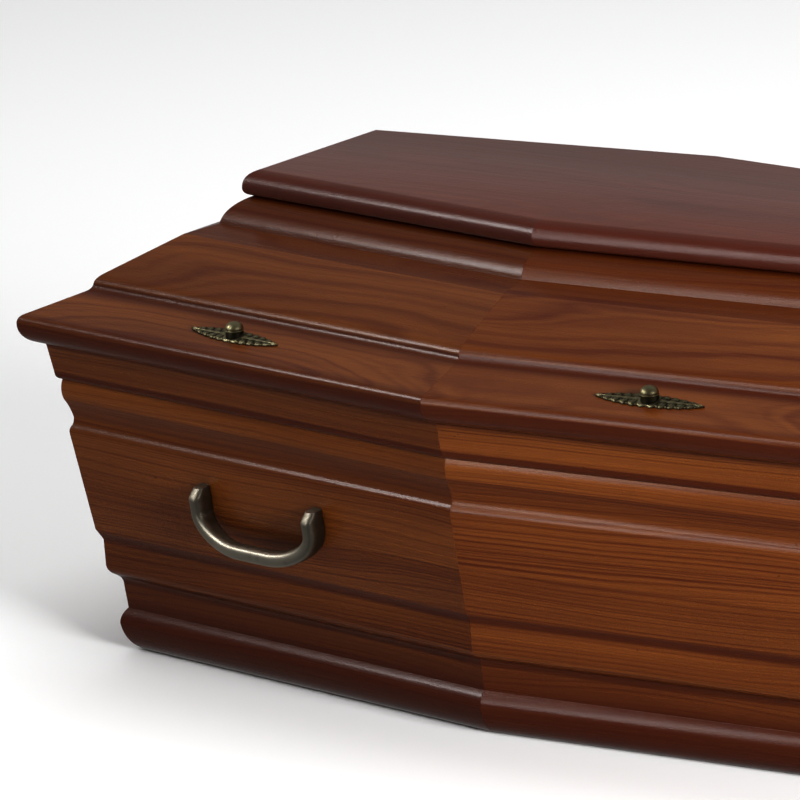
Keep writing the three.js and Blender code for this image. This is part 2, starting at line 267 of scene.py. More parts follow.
class Outline:
    """A section as points of reach and height, each with a tone: for the wood how deep the stain and the
    painted shade are, for the brass how worn it is.
    """

    def __init__(self, reach, height):
        self.points = [(reach, height)]
        self.stain_shade_and_wear_values = [0.0]
        self.stain = 0.0

    def to(self, reach, height):
        self.points.append((reach, height))
        self.stain_shade_and_wear_values.append(self.stain)
        return self

    def step(self, run, rise):
        x, y = self.points[-1]
        return self.to(x + run, y + rise)

    def curve_to(self, control, end, steps=CURVE_STEPS):
        x, y = self.points[-1]
        for i in range(1, steps + 1):
            t = i / steps
            a, b, c = (1 - t) ** 2, 2 * t * (1 - t), t * t
            self.to(a * x + b * control[0] + c * end[0], a * y + b * control[1] + c * end[1])
        return self

    def curve(self, corner_run, corner_rise, run, rise, steps=CURVE_STEPS):
        x, y = self.points[-1]
        return self.curve_to((x + corner_run, y + corner_rise), (x + run, y + rise), steps)


def lid_outline():
    """The section of a sloping lid board, from its inner upper corner round by the rim."""
    slope = LID_PANEL[1] / LID_PANEL[0]
    fall = FLANGE[1] / FLANGE[0]
    inner_drop = LID_THICKNESS * math.hypot(1, slope)
    line = Outline(LID_SEAT_REACH - LID_SEAT_WIDTH, LID_SEAT_HEIGHT - inner_drop)
    line.to(LID_PANEL_TOP_REACH, LID_PANEL_TOP_HEIGHT - inner_drop)
    line.to(LID_PANEL_FOOT_REACH, LID_PANEL_FOOT_HEIGHT - inner_drop)
    line.to(WALL_INNER_TOP_REACH, FLANGE_TOP_HEIGHT - inner_drop)
    line.to(WALL_INNER_TOP_REACH, LID_UNDERSIDE)
    # Painted shade: the rim's underside and front face are painted at the darkest tone, its nose less dark.
    line.stain = 1.0
    line.to(WALL_TOP_REACH, LID_UNDERSIDE)
    line.curve(RIM_UNDER[0], RIM_UNDER[1] * 0.14, RIM_UNDER[0], RIM_UNDER[1] - RIM_UNDER_ROUND)
    line.stain = 0.6
    line.curve_to(
        (RIM_REACH, FLANGE_TOP_HEIGHT - fall * (FLANGE[0] + RIM_NOSE[0])),
        (RIM_REACH - RIM_ROUND, FLANGE_TOP_HEIGHT - fall * (FLANGE[0] + RIM_NOSE[0] - RIM_ROUND)),
    )
    line.stain = 0.0
    line.step(-RIM_FADE, RIM_FADE * fall)
    line.to(FLANGE_TOP_REACH + STEP_FADE_START, FLANGE_TOP_HEIGHT - STEP_FADE_START * fall)
    # Painted shade: the step up from the flange to the panel is painted darker, most in its hollow.
    line.stain = 0.7
    line.to(FLANGE_TOP_REACH + STEP_FADE_END, FLANGE_TOP_HEIGHT - STEP_FADE_END * fall)
    line.stain = 0.9
    line.curve_to(
        (FLANGE_TOP_REACH - LID_STEP[0] * 0.5, FLANGE_TOP_HEIGHT + LID_STEP[1] * 0.12),
        (FLANGE_TOP_REACH - LID_STEP[0] * 0.62, FLANGE_TOP_HEIGHT + LID_STEP[1] * 0.5),
    )
    line.stain = 0.4
    line.curve_to(
        (FLANGE_TOP_REACH - LID_STEP[0] * 0.74, FLANGE_TOP_HEIGHT + LID_STEP[1] * 0.91),
        (LID_PANEL_FOOT_REACH - PANEL_FOOT_ROUND, LID_PANEL_FOOT_HEIGHT + PANEL_FOOT_ROUND * slope),
    )
    line.stain = 0.0
    line.to(LID_PANEL_TOP_REACH, LID_PANEL_TOP_HEIGHT)
    # Painted shade: the land and the ovolo under the top board are painted darker.
    line.stain = 0.75
    line.step(-LAND_EDGE, LAND_EDGE * LID_LAND[1] / LID_LAND[0])
    line.stain = 0.6
    line.step(LAND_EDGE - LID_LAND[0], LID_LAND[1] * (1 - LAND_EDGE / LID_LAND[0]))
    line.stain = 0.45
    line.curve(-LID_OVOLO[0] * 0.15, LID_OVOLO[1] * 0.66, -LID_OVOLO[0], LID_OVOLO[1])
    # Painted shadow: the top of the ovolo and the seat, in the gap under the top board, are painted at the
    # darkest tone.
    line.stain_shade_and_wear_values[-3:] = [0.3, 1.0, 1.0]
    line.stain = 1.0
    line.step(-LID_SEAT_WIDTH, 0)
    return line


def wall_outline(frieze_painted_shade):
    """The section of a wall, from its inner corner on the floor round by the outside."""
    line = Outline(FLOOR_REACH - WALL_FOOT_THICKNESS, 0)
    # The plinth is painted at the darkest tone, and the neck above it less dark.
    line.stain = 1.0
    line.to(FLOOR_REACH, 0)
    line.curve(PLINTH_FOOT_RUN * 0.82, PLINTH_LOWER_DROP * 0.24, PLINTH_FOOT_RUN, PLINTH_LOWER_DROP)
    line.curve(0, PLINTH_UPPER_DROP * 0.55, -PLINTH_SWELL, PLINTH_UPPER_DROP)
    line.stain = 0.55
    line.step(*NECK)
    # Painted shade: the hollow of the ogee is painted dark.
    line.stain = 0.9
    line.curve(0, OGEE[1] * 0.34, OGEE[0] * 0.45, OGEE[1] * 0.5)
    line.stain = 0.2
    line.curve(OGEE[0] * 0.5, OGEE[1] * 0.16, OGEE[0] * 0.55, OGEE[1] * 0.5)
    line.stain = 0.0
    line.step(BAND[0] * 0.85, BAND[1] * 0.85)
    # Painted shade: the top of the band and the step under the panel are painted dark.
    line.stain = 0.9
    line.step(BAND[0] * 0.15, BAND[1] * 0.15)
    line.step(PANEL_STEP[0] * 0.6, PANEL_STEP[1] * 0.6)
    line.stain = 0.0
    line.step(PANEL_STEP[0] * 0.4, PANEL_STEP[1] * 0.4)
    line.to(RIDGE_REACH - RIDGE_ROUND * PANEL_LEAN, RIDGE_HEIGHT - RIDGE_ROUND)
    # Painted shade: the ridge's top and the cove above it are painted darker.
    line.stain = 0.2
    line.curve_to(
        (RIDGE_REACH, RIDGE_HEIGHT - RIDGE_LIP),
        (RIDGE_REACH - RIDGE[0] * 0.55, RIDGE_HEIGHT + RIDGE[1] * 0.26),
    )
    line.stain = 0.35
    line.curve_to((COVE_FOOT_REACH, COVE_FOOT_HEIGHT - RIDGE[1] * 0.5), (COVE_FOOT_REACH, COVE_FOOT_HEIGHT))
    line.stain = 0.5
    line.curve(COVE[0] * 0.3, COVE[1] * 0.55, *COVE)
    line.stain = 0.0
    line.curve(BEAD_SWELL * 2, BEAD_HEIGHT / 2, 0, BEAD_HEIGHT)
    # Painted shade: the frieze's rounded underside is painted at the darkest tone.
    line.stain = 1.0
    line.curve(FRIEZE_ROUND[0], FRIEZE_ROUND[1] * 0.2, *FRIEZE_ROUND)
    line.step(FRIEZE[0] * 0.06, FRIEZE[1] * 0.06)
    # Painted shade: on the shoulder sides most of the frieze is painted darker.
    line.stain = frieze_painted_shade
    line.step(FRIEZE[0] * 0.08, FRIEZE[1] * 0.08)
    line.step(FRIEZE[0] * 0.72, FRIEZE[1] * 0.72)
    # Painted shadow: the top of the frieze, under the rim, is painted at the darkest tone.
    line.stain = 1.0
    line.step(FRIEZE[0] * 0.14, FRIEZE[1] * 0.14)
    line.to(WALL_INNER_TOP_REACH, WALL_HEIGHT)
    return line


def top_edge_outline():
    """The thumb moulding of the top board, from its underside up to its top face."""
    line = Outline(TOP_UNDERSIDE_REACH, TOP_UNDERSIDE)
    # Painted shade: the top board's nose and underside are painted darker than its top face.
    line.stain = 0.8
    line.curve_to((TOP_NOSE_REACH, TOP_UNDERSIDE + 1), (TOP_NOSE_REACH, TOP_FACE - TOP_NOSE_DROP))
    line.curve_to((TOP_NOSE_REACH, TOP_FACE - TOP_NOSE_DROP * 0.2), (0, TOP_FACE))
    line.stain_shade_and_wear_values[0] = 0.8
    line.stain_shade_and_wear_values[-1] = 0.2
    return line


def set_point_data(mesh, grain, stain):
    """Keeps on each point where it lies in its board, and its tone: for the wood how deep the stain and the
    painted shade are, for the brass how worn it is.
    """
    places = mesh.attributes.new("grain", "FLOAT_VECTOR", "POINT")
    places.data.foreach_set("vector", [number for place in grain for number in place])
    depth = mesh.attributes.new("stain", "FLOAT", "POINT")
    depth.data.foreach_set("value", stain)


def finished_mesh(name, points, faces, smooth_angle=35):
    """An object in metres from points in millimetres, smooth but for its sharp edges."""
    mesh = bpy.data.meshes.new(name)
    mesh.from_pydata([Vector(point) * MM for point in points], [], faces)
    mesh.polygons.foreach_set("use_smooth", [True] * len(mesh.polygons))
    mesh.set_sharp_from_angle(angle=math.radians(smooth_angle))
    mesh.update()
    piece = bpy.data.objects.new(name, mesh)
    bpy.context.scene.collection.objects.link(piece)
    return piece


def soften_edges(piece, width, segments=2, angle=28):
    bevel = piece.modifiers.new("soft arrises", "BEVEL")
    bevel.width = width * MM
    bevel.segments = segments
    bevel.limit_method = "ANGLE"
    bevel.angle_limit = math.radians(angle)
    bevel.harden_normals = True
    bevel.use_clamp_overlap = True


def place(piece, node, slot, material):
    piece.data.materials.append(material)
    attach(piece, "root")
    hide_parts(node)


def moulded_board(name, side, outline, timber):
    """A board with the outline as its section, mitred to its neighbours at both ends."""
    points, grain, stain, faces = [], [], [], []
    pull = side.along * (MITRE_GAP / 2)
    count = len(outline.points)
    for end in (0, 1):
        for (reach, height), depth in zip(outline.points, outline.stain_shade_and_wear_values):
            at = corner(side.index + end, reach) + (pull if end == 0 else -pull)
            points.append((at.x, at.y, height))
            run = (at - side.start).dot(side.along)
            grain.append((run * MM + BOARD_STRIDE * timber + BOARD_START, reach * MM, height * MM))
            stain.append(depth)
    for i in range(count):
        j = (i + 1) % count
        faces.append((i, i + count, j + count, j))
    faces.append(tuple(range(count)))
    faces.append(tuple(range(2 * count - 1, count - 1, -1)))
    piece = finished_mesh(name, points, faces)
    set_point_data(piece.data, grain, stain)
    fix_normals(piece)
    soften_edges(piece, ARRIS)
    return piece


def crease(piece, edges):
    """Keeps the shading crisp along edges that turn too little to count as sharp."""
    wanted = {tuple(sorted(edge)) for edge in edges}
    kept = piece.data.attributes
    sharp = kept.get("sharp_edge") or kept.new("sharp_edge", "BOOLEAN", "EDGE")
    for edge in piece.data.edges:
        if tuple(sorted(edge.vertices)) in wanted:
            sharp.data[edge.index].value = True


def fix_normals(piece):
    mesh = bmesh.new()
    mesh.from_mesh(piece.data)
    bmesh.ops.recalc_face_normals(mesh, faces=mesh.faces)
    mesh.to_mesh(piece.data)
    mesh.free()


def plan_board(name, outline, timber):
    """A board with the plan's outline and the given edge, level by level up from its underside."""
    points, grain, stain, faces = [], [], [], []
    for (reach, height), depth in zip(outline.points, outline.stain_shade_and_wear_values):
        for index in range(6):
            at = corner(index, reach)
            points.append((at.x, at.y, height))
            grain.append((at.x * MM + BOARD_STRIDE * timber + TOP_BOARD_START, at.y * MM, height * MM))
            stain.append(depth)
    levels = len(outline.points)
    for level in range(levels - 1):
        for index in range(6):
            after = (index + 1) % 6
            low, high = level * 6, (level + 1) * 6
            faces.append((low + index, low + after, high + after, high + index))
    faces.append(tuple(range(5, -1, -1)))
    faces.append(tuple(range((levels - 1) * 6, levels * 6)))
    piece = finished_mesh(name, points, faces)
    set_point_data(piece.data, grain, stain)
    fix_normals(piece)
    crease(piece, [(level * 6 + i, level * 6 + 6 + i) for level in range(levels - 1) for i in range(6)])
    return piece


def face_matrix(side, from_shoulder, reach, height, run, rise):
    """A place on a side: X runs along the side, Y up the slope of the face and Z out of it."""
    starts_at_shoulder = side.start.x == SHOULDER_X
    shoulder = corner(side.index if starts_at_shoulder else side.index + 1, reach)
    at = shoulder + side.along * (from_shoulder if starts_at_shoulder else -from_shoulder)
    along = Vector((side.along.x, side.along.y, 0))
    up = Vector((side.outward.x * run, side.outward.y * run, rise)).normalized()
    out = along.cross(up)
    turn = Matrix((along, up, out)).transposed().to_4x4()
    return Matrix.Translation(Vector((at.x, at.y, height))) @ turn


def smooth_step(value, low, high):
    t = min(max((value - low) / (high - low), 0.0), 1.0)
    return t * t * (3 - 2 * t)


def handle_path():
    """Evenly spaced points with tangents along the middle line of a handle, from foot to foot."""
    half = HANDLE_SPAN / 2
    turn_drop = HANDLE_DROP - HANDLE_ARM
    fine = []
    for i in range(HANDLE_ARM_STEPS + 1):
        fine.append(Vector((-half, -HANDLE_ARM * i / HANDLE_ARM_STEPS)))
    for i in range(1, HANDLE_TURN_STEPS + 1):
        angle = math.pi + 0.5 * math.pi * i / HANDLE_TURN_STEPS
        x = HANDLE_TURN_RUN - half + HANDLE_TURN_RUN * math.cos(angle)
        fine.append(Vector((x, -HANDLE_ARM + turn_drop * math.sin(angle))))
    fine += [Vector((-point.x, point.y)) for point in reversed(fine)]
    lengths = [0.0]
    for a, b in zip(fine, fine[1:]):
        lengths.append(lengths[-1] + (b - a).length)
    total = lengths[-1]
    spaced, at = [], 0
    for i in range(HANDLE_STEPS + 1):
        goal = total * i / HANDLE_STEPS
        while at < len(fine) - 2 and lengths[at + 1] < goal:
            at += 1
        share = (goal - lengths[at]) / max(lengths[at + 1] - lengths[at], 1e-9)
        spaced.append((fine[at].lerp(fine[at + 1], share), (fine[at + 1] - fine[at]).normalized(), goal))
    return spaced, total


def rounded(points, passes):
    """Cuts the corners of a closed outline, pass by pass, into a smooth one."""
    for _ in range(passes):
        cut = []
        for a, b in zip(points, points[1:] + points[:1]):
            cut.append(a.lerp(b, 0.25))
            cut.append(a.lerp(b, 0.75))
        points = cut
    return points


def handle_mesh(name):
    """A cast U-shaped bar: deep feet against the panel, and a rounder grip that stands off it."""
    right = [Vector(point) for point in BAR_HALF_SECTION]
    section = rounded(right + [Vector((-point.x, point.y)) for point in reversed(right)], 2)
    spaced, total = handle_path()
    points, faces, wear = [], [], []
    for at, tangent, goal in spaced:
        from_end = max(min(goal, total - goal), 0.0)
        to_grip = smooth_step(from_end, HANDLE_FOOT_LENGTH, total * HANDLE_GRIP_START)
        end_share = HANDLE_END_DEPTH + (1 - HANDLE_END_DEPTH) * min(from_end / HANDLE_END_BEVEL, 1)
        width = HANDLE_BAR_WIDTH * (1 - HANDLE_END_NARROWING * (1 - end_share))
        back = to_grip * (HANDLE_GRIP_FRONT - HANDLE_GRIP_DEPTH)
        front = (HANDLE_FOOT_DEPTH + (HANDLE_GRIP_FRONT - HANDLE_FOOT_DEPTH) * to_grip) * end_share
        for point in section:
            across = point.x * width / 2
            out = SEAT_GAP + back + point.y * (front - back)
            points.append((at.x - tangent.y * across, at.y + tangent.x * across, out))
            wear.append(smooth_step(point.y, 0.35, 1.0) * (0.45 + 0.55 * to_grip))
    count = len(section)
    for ring in range(HANDLE_STEPS):
        for i in range(count):
            j = (i + 1) % count
            faces.append((ring * count + i, ring * count + j, (ring + 1) * count + j, (ring + 1) * count + i))
    faces.append(tuple(range(count)))
    faces.append(tuple(range(len(points) - 1, len(points) - count - 1, -1)))
    piece = finished_mesh(name, points, faces, 50)
    set_point_data(piece.data, [(0, 0, 0)] * len(points), wear)
    fix_normals(piece)
    return piece


def plate_half_width(share):
    """Half the width of a leaf plate at a share of its half length, notched between its leaves."""
    phase = (share * PLATE_LEAVES) % 1.0
    tooth = phase / 0.6 if phase < 0.6 else (1 - phase) / 0.4
    tooth = math.sin(0.5 * math.pi * tooth)
    return PLATE_WIDTH / 2 * (1 - share ** 2.1) ** 0.8 * (1 - PLATE_NOTCH * (1 - tooth))


def plate_relief(share, side_share):
    """Height of the leaves over the plate, from 0 in a groove to 1 on a crest."""
    phase = (share * PLATE_LEAVES - 0.45 * side_share + 0.05) % 1.0
    leaf = math.sin(math.pi * phase ** 0.7) * (1 - 0.45 * side_share)
    vein = 0.16 * math.sin(2 * math.pi * (phase * 3 + side_share * 2))
    rib = math.exp(-((side_share / 0.16) ** 2))
    groove = 1 - 0.75 * math.exp(-(((side_share - 0.3) / 0.09) ** 2))
    return min(max(max(leaf * groove, rib * 0.9) + vein * (1 - rib), 0.0), 1.0)


def plate_mesh(name):
    """A pointed plate of overlapping leaves about a middle rib, round a plain seat for the knob."""
    columns, rows = 2 * PLATE_STEPS, PLATE_ROWS
    points, relief_at, faces = [], [], []
    for layer in (0, 1):
        for i in range(columns + 1):
            u = 2 * i / columns - 1
            share = min(abs(u), PLATE_TIP_SHARE)
            half = plate_half_width(share)
            for j in range(rows + 1):
                v = 2 * j / rows - 1
                relief = plate_relief(share, abs(v))
                from_knob = math.hypot(u * PLATE_LENGTH / 2, v * half)
                seat = smooth_step(from_knob, PLATE_SEAT_RADIUS, PLATE_RELIEF_RADIUS)
                edge = math.sqrt(max(1 - abs(v) ** 5, 0.0))
                crown = 1 - 0.35 * share
                height = PLATE_EDGE + (PLATE_THICKNESS - PLATE_EDGE) * edge * crown
                height += seat * (relief - 0.35) * PLATE_RELIEF * edge * crown
                height = max(height, PLATE_THINNEST) if layer else 0.0
                points.append((u * PLATE_LENGTH / 2, v * half, SEAT_GAP + height))
                relief_at.append((1 - seat * (1 - relief)) if layer else 0.0)
    width = rows + 1
    size = (columns + 1) * width
    for i in range(columns):
        for j in range(rows):
            a, b = i * width + j, (i + 1) * width + j
            faces.append((a, a + 1, b + 1, b))
            faces.append((size + a, size + b, size + b + 1, size + a + 1))
    rim = [i * width for i in range(columns + 1)]
    rim += [columns * width + j for j in range(1, width)]
    rim += [i * width + rows for i in range(columns - 1, -1, -1)]
    rim += [j for j in range(rows - 1, 0, -1)]
    for a, b in zip(rim, rim[1:] + rim[:1]):
        faces.append((a, b, size + b, size + a))
    piece = finished_mesh(name, points, faces, 60)
    set_point_data(piece.data, [(0, 0, 0)] * len(points), relief_at)
    fix_normals(piece)
    return piece


def knob_mesh(name):
    """An upright knob: a boss cut along the plate's slope, a collar, a neck and a dome. Z is downhill."""
    slope = FLANGE[1] / FLANGE[0]
    seat = (PLATE_THICKNESS + 2 * SEAT_GAP) * math.hypot(1, slope)
    collar_top = KNOB_BOSS_HEIGHT + KNOB_COLLAR_HEIGHT
    dome_foot = collar_top + KNOB_NECK_HEIGHT
    line = Outline(KNOB_BOSS_RADIUS, 0)
    line.stain = 0.1
    line.to(KNOB_BOSS_RADIUS - 0.5, KNOB_BOSS_HEIGHT - 0.05)
    line.stain = 0.9
    line.curve(1.05, 0.05, 1.05, KNOB_COLLAR_HEIGHT * 0.5, KNOB_COLLAR_STEPS)
    line.curve(0, KNOB_COLLAR_HEIGHT * 0.45, -1.0, KNOB_COLLAR_HEIGHT * 0.5, KNOB_COLLAR_STEPS)
    line.stain = 0.1
    line.to(KNOB_NECK_RADIUS + 0.1, collar_top + 0.05)
    line.stain = 0.7
    line.to(KNOB_NECK_RADIUS, collar_top + KNOB_NECK_HEIGHT * 0.5)
    line.curve_to((KNOB_RADIUS, dome_foot - 0.4), (KNOB_RADIUS, dome_foot + 0.5), KNOB_NECK_STEPS)
    line.stain = 0.95
    rise = KNOB_DOME_HEIGHT - 0.5
    for i in range(1, KNOB_DOME_STEPS):
        angle = 0.5 * math.pi * i / KNOB_DOME_STEPS
        line.to(KNOB_RADIUS * math.cos(angle) ** 0.95, dome_foot + 0.5 + rise * math.sin(angle) ** 1.05)
    points, faces, wear = [], [], []
    for (radius, height), depth in zip(line.points, line.stain_shade_and_wear_values):
        for k in range(KNOB_SIDES):
            angle = 2 * math.pi * k / KNOB_SIDES
            x, z = radius * math.cos(angle), radius * math.sin(angle)
            points.append((x, seat + (height if height > 0 else -slope * z), z))
            wear.append(depth)
    levels = len(line.points)
    for level in range(levels - 1):
        for k in range(KNOB_SIDES):
            after = (k + 1) % KNOB_SIDES
            low, high = level * KNOB_SIDES, (level + 1) * KNOB_SIDES
            faces.append((low + k, low + after, high + after, high + k))
    faces.append(tuple(range(KNOB_SIDES - 1, -1, -1)))
    tip = len(points)
    points.append((0, seat + dome_foot + KNOB_DOME_HEIGHT, 0))
    wear.append(0.9)
    last = (levels - 1) * KNOB_SIDES
    for k in range(KNOB_SIDES):
        faces.append((last + k, last + (k + 1) % KNOB_SIDES, tip))
    piece = finished_mesh(name, points, faces, 50)
    set_point_data(piece.data, [(0, 0, 0)] * len(points), wear)
    fix_normals(piece)
    return piece


def settle(piece, matrix):
    """Moves a piece's mesh to its place, from millimetres in the matrix to metres."""
    scaled = matrix.copy()
    scaled.translation = matrix.translation * MM
    piece.data.transform(scaled)


class Nodes:
    """Short calls to build a material's node tree."""

    def __init__(self, name):
        self.material = bpy.data.materials.new(name)
        self.material.use_nodes = True
        self.tree = self.material.node_tree
        self.shader = self.tree.nodes["Principled BSDF"]

    def feed(self, socket, value):
        """Links another node's output to a socket, or sets a constant on it."""
        if isinstance(value, bpy.types.NodeSocket):
            self.tree.links.new(value, socket)
        else:
            socket.default_value = value

    def add(self, kind, inputs=(), **settings):
        node = self.tree.nodes.new(kind)
        for key, value in settings.items():
            setattr(node, key, value)
        for key, value in dict(inputs).items():
            self.feed(node.inputs[key], value)
        return node

    def math(self, operation, a, b=0.0, c=0.0):
        return self.add("ShaderNodeMath", {0: a, 1: b, 2: c}, operation=operation).outputs[0]

    def vector(self, operation, a, b):
        return self.add("ShaderNodeVectorMath", {0: a, 1: b}, operation=operation).outputs[0]

    def noise(self, vector, scale, detail=2.0, roughness=0.5):
        inputs = {"Vector": vector, "Scale": scale, "Detail": detail, "Roughness": roughness}
        return self.add("ShaderNodeTexNoise", inputs)

    def between(self, value, low, high, to_low=0.0, to_high=1.0):
        inputs = {"Value": value, "From Min": low, "From Max": high, "To Min": to_low, "To Max": to_high}
        return self.add("ShaderNodeMapRange", inputs).outputs[0]

    def mix(self, share, a, b):
        """A share of colour b over colour a."""
        return self.add("ShaderNodeMix", {0: share, 6: a, 7: b}, data_type="RGBA").outputs[2]

    def attribute(self, name, output):
        return self.add("ShaderNodeAttribute", attribute_name=name).outputs[output]

    def bump(self, height, strength, distance, below=None):
        inputs = {"Height": height, "Strength": strength, "Distance": distance}
        if below is not None:
            inputs["Normal"] = below
        return self.add("ShaderNodeBump", inputs).outputs[0]

    def into(self, name, value):
        self.feed(self.shader.inputs[name], value)


def colour(red, green, blue):
    return (red, green, blue, 1.0)


NEARLY_BLACK = colour(0.022, 0.006, 0.003)
# A deep red-brown for the uneven stain, and for the painted shade in the mouldings.
DEEP_STAIN_AND_SHADE = colour(0.05, 0.0072, 0.0022)


def wood(name, pale, dark, across, glue_shift, roughness, gloss):
    """Stained and lacquered straight-grained wood, glued up from staves, with rings, streaks and pores."""
    n = Nodes(name)
    grain = n.attribute("grain", "Vector")
    split = n.add("ShaderNodeSeparateXYZ", {0: grain})
    # Staves: each has its own cut of the tree and its own tone.
    level = n.math("MULTIPLY_ADD", split.outputs[across], 1 / STAVE_WIDTH, glue_shift)
    board = n.math("FLOOR", n.math("DIVIDE", split.outputs[0], BOARD_STRIDE))
    key = n.add("ShaderNodeCombineXYZ", {0: n.math("FLOOR", level), 1: board})
    chance = n.add("ShaderNodeTexWhiteNoise", {"Vector": key.outputs[0]}, noise_dimensions="3D")
    lain = n.vector("ADD", grain, n.vector("MULTIPLY", chance.outputs["Color"], (5.0, 0.16, 0.3)))
    # The rings, which wander slowly along the stave.
    half = (0.5, 0.5, 0.5)
    slow = n.noise(n.vector("MULTIPLY", lain, (1.5, 6.0, 6.0)), 1.0, 1.5)
    wander = n.vector("MULTIPLY", n.vector("SUBTRACT", slow.outputs["Color"], half), (0.0, 0.055, 0.055))
    fine = n.noise(n.vector("MULTIPLY", lain, (8.0, 42.0, 42.0)), 1.0, 2.0)
    quiver = n.vector("MULTIPLY", n.vector("SUBTRACT", fine.outputs["Color"], half), (0.0, 0.0028, 0.0028))
    bent = n.vector("MULTIPLY", n.vector("ADD", n.vector("ADD", lain, wander), quiver), (0.0, 1.0, 1.0))
    radius = n.add("ShaderNodeVectorMath", {0: bent}, operation="LENGTH").outputs["Value"]
    ring_inputs = {"W": radius, "Scale": 390.0, "Detail": 2.0, "Roughness": 0.6}
    rings = n.add("ShaderNodeTexNoise", ring_inputs, noise_dimensions="1D").outputs["Fac"]
    late = n.math("POWER", n.between(rings, 0.4, 0.68), 1.2)
    # Streaks and pores that run with the grain.
    streak = n.noise(n.vector("MULTIPLY", lain, (3.0, 420.0, 420.0)), 1.0, 3.0, 0.6).outputs["Fac"]
    broad = n.noise(n.vector("MULTIPLY", lain, (1.1, 24.0, 24.0)), 1.0, 2.0).outputs["Fac"]
    pores = n.noise(n.vector("MULTIPLY", lain, (42.0, 1150.0, 1150.0)), 1.0, 1.0).outputs["Fac"]
    pores = n.between(pores, 0.64, 0.78)
    tone = n.math("MULTIPLY_ADD", late, 0.5, n.between(streak, 0.32, 0.7, 0.0, 0.26))
    tone = n.math("ADD", tone, n.between(broad, 0.3, 0.7, -0.14, 0.26))
    tone = n.math("ADD", tone, n.between(chance.outputs["Value"], 0.0, 1.0, -0.04, 0.24))
    body = n.mix(n.between(tone, 0.0, 1.0), pale, dark)
    body = n.mix(n.math("MULTIPLY", pores, 0.3), body, NEARLY_BLACK)
    # Small dark specks in the timber.
    speck = n.noise(n.vector("MULTIPLY", lain, (150.0, 300.0, 300.0)), 1.0, 0.0).outputs["Fac"]
    body = n.mix(n.math("MULTIPLY", n.between(speck, 0.86, 0.89), 0.6), body, NEARLY_BLACK)
    # The stain takes unevenly. The tone kept on each point paints the mouldings' hollows and undersides, and
    # the gaps under the rim and the top board, darker: painted shade, with some deeper stain.
    cloud = n.noise(n.vector("MULTIPLY", lain, (2.2, 9.0, 9.0)), 1.0, 2.0).outputs["Fac"]
    body = n.mix(n.between(cloud, 0.42, 0.72, 0.0, 0.32), body, DEEP_STAIN_AND_SHADE)
    # Painted shade: the hollows and undersides of the mouldings darkened by the tone kept on each point.
    body = n.mix(n.math("MULTIPLY", n.attribute("stain", "Fac"), 0.85), body, DEEP_STAIN_AND_SHADE)
    # The glue line between two staves is a hair darker.
    glue = n.between(n.math("FRACT", level), 0.0, 0.012, 0.35, 0.0)
    body = n.mix(glue, body, NEARLY_BLACK)
    n.into("Base Color", body)
    n.into("Roughness", n.between(streak, 0.3, 0.7, roughness - 0.03, roughness + 0.04))
    peel = n.noise(grain, 430.0, 2.0).outputs["Fac"]
    swell = n.noise(grain, 38.0, 1.0).outputs["Fac"]
    relief = n.math("MULTIPLY_ADD", pores, -0.25, n.math("MULTIPLY", tone, -0.12))
    first = n.bump(relief, 0.3, 0.0003)
    second = n.bump(peel, 0.7, 0.0004, first)
    n.into("Normal", n.bump(swell, 0.3, 0.0012, second))
    n.into("Coat Weight", 0.22)
    n.into("Coat Roughness", 0.17)
    n.into("Specular IOR Level", gloss)
    return n.material


def bare_wood(name):
    """Oiled boards of the base, plain and dull."""
    n = Nodes(name)
    place_at = n.add("ShaderNodeTexCoord").outputs["Object"]
    streak = n.noise(n.vector("MULTIPLY", place_at, (3.0, 120.0, 120.0)), 1.0, 4.0).outputs["Fac"]
    broad = n.noise(n.vector("MULTIPLY", place_at, (0.8, 12.0, 12.0)), 1.0, 2.0).outputs["Fac"]
    body = n.mix(n.between(streak, 0.3, 0.7), colour(0.34, 0.19, 0.09), colour(0.22, 0.11, 0.05))
    body = n.mix(n.between(broad, 0.35, 0.7, 0.0, 0.5), body, colour(0.18, 0.085, 0.035))
    n.into("Base Color", body)
    n.into("Roughness", n.between(streak, 0.3, 0.7, 0.55, 0.7))
    n.into("Normal", n.bump(streak, 0.3, 0.0003))
    return n.material


def brass(name, tarnish, worn_dark, worn_pale):
    """Antiqued brass: tarnished in the hollows, worn to bare metal on what is touched."""
    n = Nodes(name)
    where = n.add("ShaderNodeTexCoord").outputs["Object"]
    rubbed = n.attribute("stain", "Fac")
    smear = n.noise(where, 90.0, 3.0).outputs["Fac"]
    grit = n.noise(where, 900.0, 2.0).outputs["Fac"]
    worn = n.math("ADD", n.between(rubbed, 0.1, 0.85), n.between(smear, 0.35, 0.7, -0.2, 0.16))
    worn = n.between(worn, 0.0, 1.0)
    metal = n.mix(n.between(smear, 0.35, 0.7), worn_pale, worn_dark)
    n.into("Base Color", n.mix(worn, tarnish, metal))
    n.into("Metallic", 1.0)
    n.into("Roughness", n.between(worn, 0.0, 1.0, 0.52, 0.42))
    n.into("Normal", n.bump(grit, 0.12, 0.0001))
    return n.material


